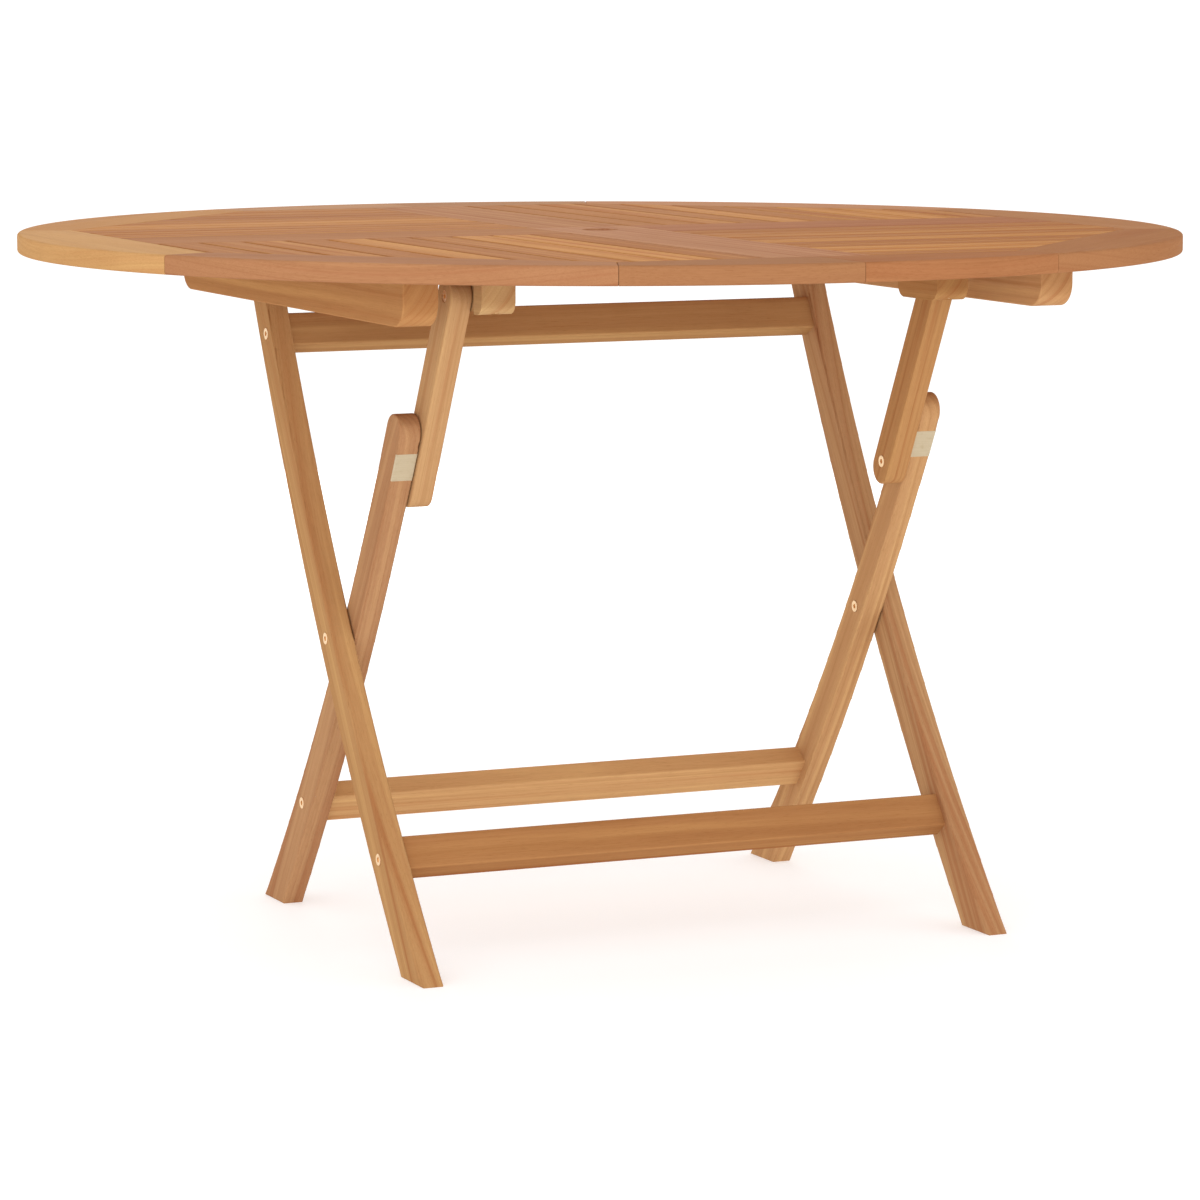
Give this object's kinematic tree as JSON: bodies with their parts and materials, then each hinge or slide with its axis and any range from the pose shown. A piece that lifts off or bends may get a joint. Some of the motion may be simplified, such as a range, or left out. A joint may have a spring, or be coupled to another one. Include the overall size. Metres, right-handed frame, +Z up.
{
  "type": "folding picnic table",
  "caption": "Round folding wooden table: slatted top with a parasol hole on two crossed leg frames that fold up under it.",
  "frame": {"origin": "on the floor under the middle of the round top, with the table open", "axes": "+Z up, +X along the cross rails, -Y towards the front edge of the top, which swings down as the table folds"},
  "size_m": [1.26, 1.26, 0.75],
  "materials": {
    "top_wood": "satin oiled hardwood",
    "slat_wood": "satin oiled hardwood",
    "frame_wood": "satin oiled hardwood",
    "dowel_wood": "plain beech",
    "hardware": "plated steel",
    "plate_metal": "brushed"
  },
  "bodies": {
    "outer_legs": {"outer_leg_left": "frame_wood", "outer_leg_right": "frame_wood", "outer_top_rail": "frame_wood", "outer_low_rail": "frame_wood", "outer_rail_bolts": "hardware", "outer_rail_barrel_nuts": "hardware", "cross_pivot_bolts": "hardware", "cross_pivot_sleeves": "hardware"},
    "inner_legs": {"inner_leg_left": "frame_wood", "inner_leg_right": "frame_wood", "inner_low_rail": "frame_wood", "inner_rail_bolts": "hardware", "inner_rail_barrel_nuts": "hardware", "lock_plate_left": "plate_metal", "lock_plate_right": "plate_metal", "strut_low_inserts": "hardware"},
    "struts": {"strut_left": "frame_wood", "strut_right": "frame_wood", "strut_low_screws": "hardware"},
    "top": {"batten_left": "frame_wood", "batten_right": "frame_wood", "batten_screws": "hardware", "centre_board_back": "top_wood", "centre_board_front": "top_wood", "centre_board_left": "top_wood", "centre_board_right": "top_wood", "hinge_block_left": "frame_wood", "hinge_block_right": "frame_wood", "hinge_block_screws": "hardware", "rim_back_half_left": "top_wood", "rim_back_half_right": "top_wood", "rim_back_left": "top_wood", "rim_back_right": "top_wood", "rim_dowels": "dowel_wood", "rim_front_half_left": "top_wood", "rim_front_half_right": "top_wood", "rim_front_left": "top_wood", "rim_front_right": "top_wood", "rim_left": "top_wood", "rim_right": "top_wood", "slats_back_left": "slat_wood", "slats_back_right": "slat_wood", "slats_front_left": "slat_wood", "slats_front_right": "slat_wood", "strut_top_bolts": "hardware", "top_pivot_bolts": "hardware"}
  },
  "joints": [
    {"name": "top_fold", "type": "hinge", "parent": "outer_legs", "child": "top", "pos_m": [0, 0.1595, 0.696], "axis": [1, 0, 0], "range_deg": [0, 41.5]},
    {"name": "inner_leg_fold", "type": "hinge", "parent": "outer_legs", "child": "inner_legs", "pos_m": [0, -0.046, 0.326], "axis": [1, 0, 0], "range_deg": [-62, 0]},
    {"name": "strut_fold", "type": "hinge", "parent": "top", "child": "struts", "pos_m": [0, -0.26, 0.702], "axis": [1, 0, 0], "range_deg": [0, 43.5]}
  ],
  "couplings": [
    {"joint": "inner_leg_fold", "follows": "top_fold", "ratio": -1.463},
    {"joint": "strut_fold", "follows": "top_fold", "ratio": 1.031}
  ]
}
